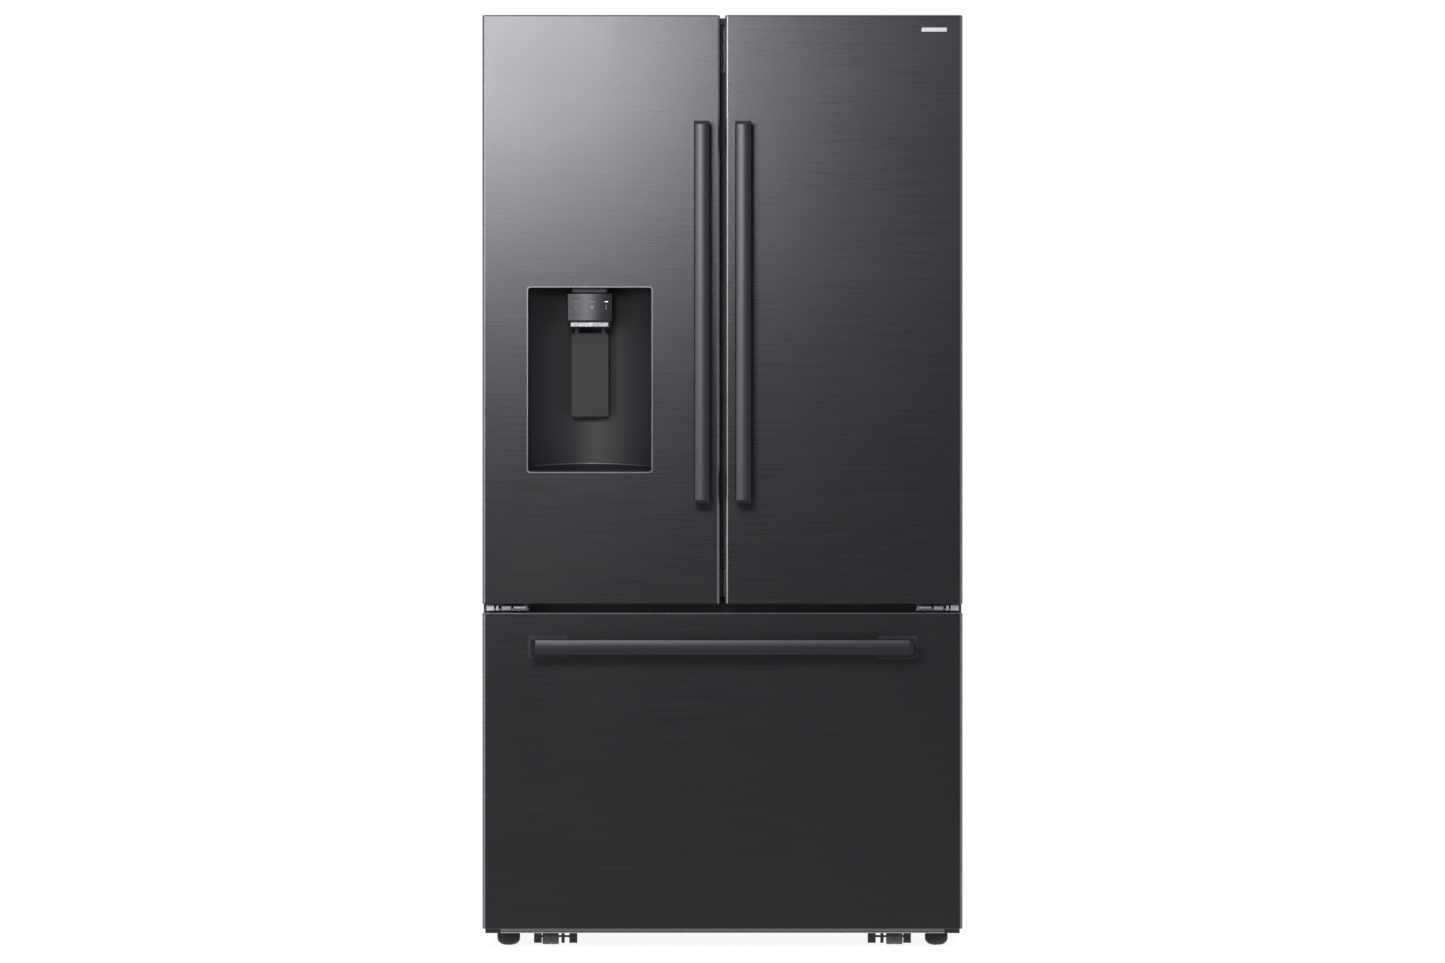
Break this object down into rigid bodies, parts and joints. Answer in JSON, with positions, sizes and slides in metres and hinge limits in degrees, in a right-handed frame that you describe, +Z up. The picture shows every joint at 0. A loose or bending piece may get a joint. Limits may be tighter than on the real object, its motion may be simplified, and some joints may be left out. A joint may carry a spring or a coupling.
{
  "type": "french door refrigerator",
  "caption": "Free-standing refrigerator with two hinged upper doors, a water and ice dispenser in the left door, and a pull-out freezer drawer below.",
  "frame": {"origin": "on the floor under the middle of the overall box", "axes": "+X to the right of a person facing the doors, +Y from the doors to the back, +Z up"},
  "size_m": [0.908, 0.9269, 1.762],
  "materials": {
    "black_steel": "fine horizontal brushing under a dark tinted coat",
    "handle_steel": "satin, dark tinted",
    "cabinet_paint": "fine textured paint",
    "galvanised": "plain galvanised sheet",
    "foam": "rigid foam, hidden",
    "liner_white": "soft gloss",
    "white_plastic": "soft gloss",
    "dark_plastic": "fine grain",
    "rail_paint": "satin",
    "hinge_steel": "nickel plated",
    "rail_steel": "zinc plated",
    "frame_steel": "satin",
    "strip_steel": "satin",
    "compressor_black": "gloss enamel",
    "coil_black": "satin enamel",
    "coil_aluminium": "mill finish",
    "shelf_trim": "satin",
    "shelf_glass": "clear, polished",
    "seal_grey": "soft matte",
    "recess_dark": "satin",
    "head_metal": "glossy metallic",
    "paddle_dark": "matte",
    "mullion_dark": "satin",
    "clear_plastic": "clear, polished",
    "wheel_black": "moulded"
  },
  "bodies": {
    "cabinet": {"cabinet_shell": "cabinet_paint", "back_panel": "galvanised", "cabinet_insulation": "foam", "fridge_liner": "liner_white", "freezer_liner": "liner_white", "center_rail": "rail_paint", "top_cover": "dark_plastic", "top_hinges": "hinge_steel", "middle_hinges": "hinge_steel", "base_frame": "frame_steel", "base_trim": "strip_steel", "compressor": "compressor_black", "condenser": "coil_black", "machine_cover": "galvanised", "evaporator": "coil_aluminium", "duct_covers": "white_plastic", "shelf_frames": "shelf_trim", "shelf_glass": "shelf_glass", "ice_maker": "white_plastic", "freezer_rails": "rail_steel", "cabinet_screws": "hinge_steel", "utility_inlets": "dark_plastic"},
    "left_door": {"left_door_skin": "black_steel", "left_door_caps": "dark_plastic", "left_door_liner": "liner_white", "left_door_insulation": "foam", "left_door_gasket": "seal_grey", "left_handle": "handle_steel", "dispenser_housing": "recess_dark", "dispenser_head": "head_metal"},
    "right_door": {"right_door_skin": "black_steel", "right_door_caps": "dark_plastic", "right_door_liner": "liner_white", "right_door_insulation": "foam", "right_door_gasket": "seal_grey", "right_handle": "handle_steel"},
    "freezer_drawer": {"drawer_skin": "black_steel", "drawer_caps": "dark_plastic", "drawer_liner": "liner_white", "drawer_insulation": "foam", "drawer_gasket": "seal_grey", "drawer_handle": "handle_steel", "drawer_rails": "rail_steel", "freezer_basket": "clear_plastic"},
    "slide_rails": {"middle_rails": "rail_steel"},
    "upper_tray": {"freezer_tray": "clear_plastic"},
    "left_crisper_drawer": {"left_crisper": "clear_plastic"},
    "right_crisper_drawer": {"right_crisper": "clear_plastic"},
    "mullion": {"flip_mullion": "mullion_dark"},
    "paddle": {"dispenser_paddle": "paddle_dark"},
    "front_wheels": {"front_rollers": "wheel_black"},
    "rear_wheels": {"rear_rollers": "wheel_black"},
    "left_foot": {"left_leg": "wheel_black"},
    "right_foot": {"right_leg": "wheel_black"},
    "fan": {"condenser_fan": "wheel_black"},
    "left_upper_bin_body": {"left_upper_bin": "clear_plastic"},
    "left_lower_bin_body": {"left_lower_bin": "clear_plastic"},
    "right_upper_bin_body": {"right_upper_bin": "clear_plastic"},
    "right_middle_bin_body": {"right_middle_bin": "clear_plastic"},
    "right_lower_bin_body": {"right_lower_bin": "clear_plastic"}
  },
  "joints": [
    {"name": "left_door_hinge", "type": "hinge", "parent": "cabinet", "child": "left_door", "pos_m": [-0.44, -0.3715, 1.2], "axis": [0, 0, -1], "range_deg": [0, 120]},
    {"name": "right_door_hinge", "type": "hinge", "parent": "cabinet", "child": "right_door", "pos_m": [0.44, -0.3715, 1.2], "axis": [0, 0, 1], "range_deg": [0, 120]},
    {"name": "freezer_drawer_slide", "type": "slide", "parent": "cabinet", "child": "freezer_drawer", "axis": [0, -1, 0], "range_m": [0, 0.46]},
    {"name": "slide_rail_extension", "type": "slide", "parent": "cabinet", "child": "slide_rails", "axis": [0, -1, 0], "range_m": [0, 0.23]},
    {"name": "upper_tray_slide", "type": "slide", "parent": "cabinet", "child": "upper_tray", "axis": [0, -1, 0], "range_m": [0, 0.276]},
    {"name": "left_crisper_slide", "type": "slide", "parent": "cabinet", "child": "left_crisper_drawer", "axis": [0, -1, 0], "range_m": [0, 0.22]},
    {"name": "right_crisper_slide", "type": "slide", "parent": "cabinet", "child": "right_crisper_drawer", "axis": [0, -1, 0], "range_m": [0, 0.22]},
    {"name": "mullion_fold", "type": "hinge", "parent": "left_door", "child": "mullion", "pos_m": [-0.034, -0.2935, 1.185], "axis": [0, 0, -1], "range_deg": [0, 90]},
    {"name": "paddle_press", "type": "hinge", "parent": "left_door", "child": "paddle", "pos_m": [-0.251, -0.3315, 1.192], "axis": [1, 0, 0], "range_deg": [0, 5], "stiffness_Nm_per_rad": 0.5, "springref_deg": -5.73},
    {"name": "left_upper_bin_lift", "type": "slide", "parent": "left_door", "child": "left_upper_bin_body", "axis": [0, 0, 1], "range_m": [0, 0.03]},
    {"name": "left_lower_bin_lift", "type": "slide", "parent": "left_door", "child": "left_lower_bin_body", "axis": [0, 0, 1], "range_m": [0, 0.03]},
    {"name": "right_upper_bin_lift", "type": "slide", "parent": "right_door", "child": "right_upper_bin_body", "axis": [0, 0, 1], "range_m": [0, 0.03]},
    {"name": "right_middle_bin_lift", "type": "slide", "parent": "right_door", "child": "right_middle_bin_body", "axis": [0, 0, 1], "range_m": [0, 0.03]},
    {"name": "right_lower_bin_lift", "type": "slide", "parent": "right_door", "child": "right_lower_bin_body", "axis": [0, 0, 1], "range_m": [0, 0.03]},
    {"name": "front_wheel_spin", "type": "hinge", "parent": "cabinet", "child": "front_wheels", "pos_m": [0, -0.25, 0.016], "axis": [1, 0, 0], "continuous": true},
    {"name": "rear_wheel_spin", "type": "hinge", "parent": "cabinet", "child": "rear_wheels", "pos_m": [0, 0.4, 0.02], "axis": [1, 0, 0], "continuous": true},
    {"name": "left_foot_screw", "type": "slide", "parent": "cabinet", "child": "left_foot", "axis": [0, 0, -1], "range_m": [0, 0.015]},
    {"name": "right_foot_screw", "type": "slide", "parent": "cabinet", "child": "right_foot", "axis": [0, 0, -1], "range_m": [0, 0.015]},
    {"name": "fan_spin", "type": "hinge", "parent": "cabinet", "child": "fan", "pos_m": [-0.018, 0.345, 0.15], "axis": [1, 0, 0], "continuous": true}
  ],
  "couplings": [
    {"joint": "slide_rail_extension", "follows": "freezer_drawer_slide", "ratio": 0.5},
    {"joint": "upper_tray_slide", "follows": "freezer_drawer_slide", "ratio": 0.6},
    {"joint": "left_crisper_slide", "follows": "left_door_hinge", "m_per_rad": 0.105},
    {"joint": "right_crisper_slide", "follows": "right_door_hinge", "m_per_rad": 0.105}
  ]
}
